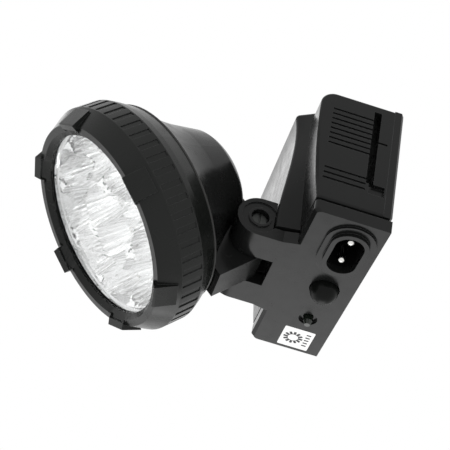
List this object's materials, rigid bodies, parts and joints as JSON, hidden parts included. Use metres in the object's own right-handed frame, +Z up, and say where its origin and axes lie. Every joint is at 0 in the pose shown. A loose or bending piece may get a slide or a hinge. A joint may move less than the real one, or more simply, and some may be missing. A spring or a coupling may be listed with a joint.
{
  "type": "cap lamp",
  "caption": "Rechargeable cap lamp: round ribbed lamp head tilting on a hinge in front of a flat battery case with charging inlet, push button and strap slots.",
  "frame": {"origin": "centre of the flat rear face, where the lamp is held on the cap", "axes": "+Z up as worn, +Y towards the wearer, so the lamp shines to -Y; +X to the wearer's left"},
  "size_m": [0.0701, 0.1043, 0.0736],
  "materials": {
    "housing_plastic": "moulded black ABS, satin to semi-gloss",
    "bezel_plastic": "moulded black ABS, satin",
    "button_plastic": "moulded black plastic",
    "inlet_plastic": "black insulating moulding",
    "lens_clear": "clear polished lens",
    "reflector_metallised": "bright vacuum metallised plastic",
    "led_epoxy": "clear cast LED body",
    "indicator_epoxy": "tinted cast LED body",
    "seal_rubber": "soft black rubber",
    "screw_steel": "zinc-plated steel",
    "pin_metal": "nickel-plated brass",
    "washer_fibre": "pressed fibre",
    "board_laminate": "glass-fibre board with solder mask",
    "switch_plastic": "moulded switch housing",
    "capacitor_box": "potted film capacitor",
    "diode_body": "moulded diode bodies",
    "battery_case": "sealed battery case",
    "foam": "closed-cell foam"
  },
  "bodies": {
    "case": {"main_case": "housing_plastic", "rear_cover": "housing_plastic", "base_cover": "housing_plastic", "rear_cover_screws": "screw_steel", "hinge_screw": "screw_steel", "friction_washers": "washer_fibre", "charging_inlet": "inlet_plastic", "inlet_pins": "pin_metal", "switch_body": "switch_plastic", "indicator_led": "indicator_epoxy", "circuit_board": "board_laminate", "film_capacitor": "capacitor_box", "rectifier_diodes": "diode_body", "battery": "battery_case", "battery_terminals": "pin_metal", "battery_pad": "foam"},
    "head": {"head_housing": "housing_plastic", "bezel_ring": "bezel_plastic", "lens": "lens_clear", "lens_gasket": "seal_rubber", "bezel_seal": "seal_rubber", "reflector": "reflector_metallised", "led_board": "board_laminate", "leds": "led_epoxy", "led_board_screws": "screw_steel"},
    "button": {"switch_button": "button_plastic", "switch_plunger": "switch_plastic"}
  },
  "joints": [
    {"name": "head_tilt", "type": "hinge", "parent": "case", "child": "head", "pos_m": [0, -0.0345, -0.01715], "axis": [1, 0, 0], "range_deg": [-25, 44]},
    {"name": "button_press", "type": "slide", "parent": "case", "child": "button", "axis": [0, 0, 1], "range_m": [0, 0.0015], "stiffness_N_per_m": 600, "springref_m": -0.0005}
  ]
}
